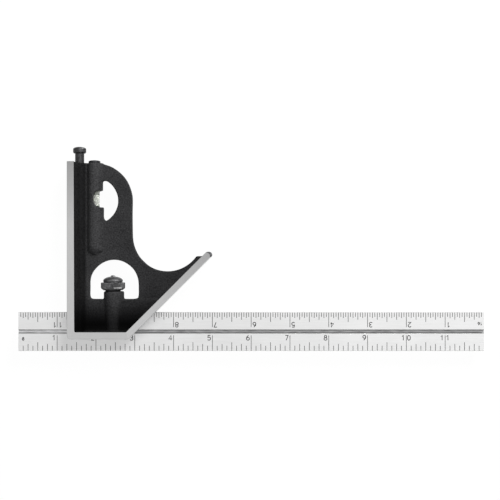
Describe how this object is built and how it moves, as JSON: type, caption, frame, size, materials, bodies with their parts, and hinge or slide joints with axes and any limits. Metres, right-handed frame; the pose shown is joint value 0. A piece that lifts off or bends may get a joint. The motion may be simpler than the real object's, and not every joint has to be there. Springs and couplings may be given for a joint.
{
  "type": "combination square",
  "caption": "Combination square: a grooved, graduated rule locked in a cast head with square and mitre faces, a spirit level and a scriber.",
  "frame": {"origin": "the heel of the head, where the planes of the base, the 90 degree face and the rear ground face meet", "axes": "+X along the rule, towards its long end; +Y up the 90 degree face; +Z through the thickness, out of the face with the groove. The square lies on its rear face"},
  "size_m": [0.3048, 0.1341, 0.02],
  "materials": {
    "head_iron": "black wrinkle enamel, with ground bands and faces left bare",
    "rule_steel": "satin chrome, photo-etched lines and figures",
    "lock_steel": "black oxide, slightly worn",
    "spring_steel": "bright wire",
    "scriber_steel": "black oxide, with a ground point",
    "bushing_brass": "turned",
    "vial_glass": "clear",
    "vial_cement": "matt white plaster",
    "vial_spirit": "pale green spirit",
    "vial_air": "clear bubble",
    "line_paint": "black paint",
    "plug_steel": "black oxide"
  },
  "bodies": {
    "head": {"square_head": "head_iron", "lock_spring": "spring_steel", "scriber_bushing": "bushing_brass", "vial_glass": "vial_glass", "vial_stopper": "vial_cement", "vial_fluid": "vial_spirit", "vial_lines": "line_paint", "vial_bed_upper": "vial_cement", "vial_bed_lower": "vial_cement", "vial_plug": "plug_steel"},
    "rule": {"rule": "rule_steel"},
    "nut": {"lock_nut": "lock_steel"},
    "bolt": {"lock_bolt": "lock_steel"},
    "scriber": {"scriber": "scriber_steel"},
    "bubble": {"vial_bubble": "vial_air"}
  },
  "joints": [
    {"name": "rule_slide", "type": "slide", "parent": "head", "child": "rule", "axis": [1, 0, 0], "range_m": [-0.236, 0.055]},
    {"name": "nut_turn", "type": "hinge", "parent": "head", "child": "nut", "pos_m": [0.0284, 0.035, 0.01], "axis": [0, 1, 0], "range_deg": [0, 360]},
    {"name": "bolt_draw", "type": "slide", "parent": "head", "child": "bolt", "axis": [0, -1, 0], "range_m": [0, 0.00079], "deforming": ["lock_spring"]},
    {"name": "scriber_pull", "type": "slide", "parent": "head", "child": "scriber", "axis": [0, 1, 0], "range_m": [0, 0.053]},
    {"name": "bubble_travel", "type": "slide", "parent": "head", "child": "bubble", "axis": [0, 1, 0], "range_m": [-0.008, 0.008], "stiffness_N_per_m": 0.3, "deforming": ["vial_fluid"]}
  ],
  "couplings": [
    {"joint": "nut_turn", "follows": "bolt_draw", "rad_per_m": 7915.8}
  ]
}
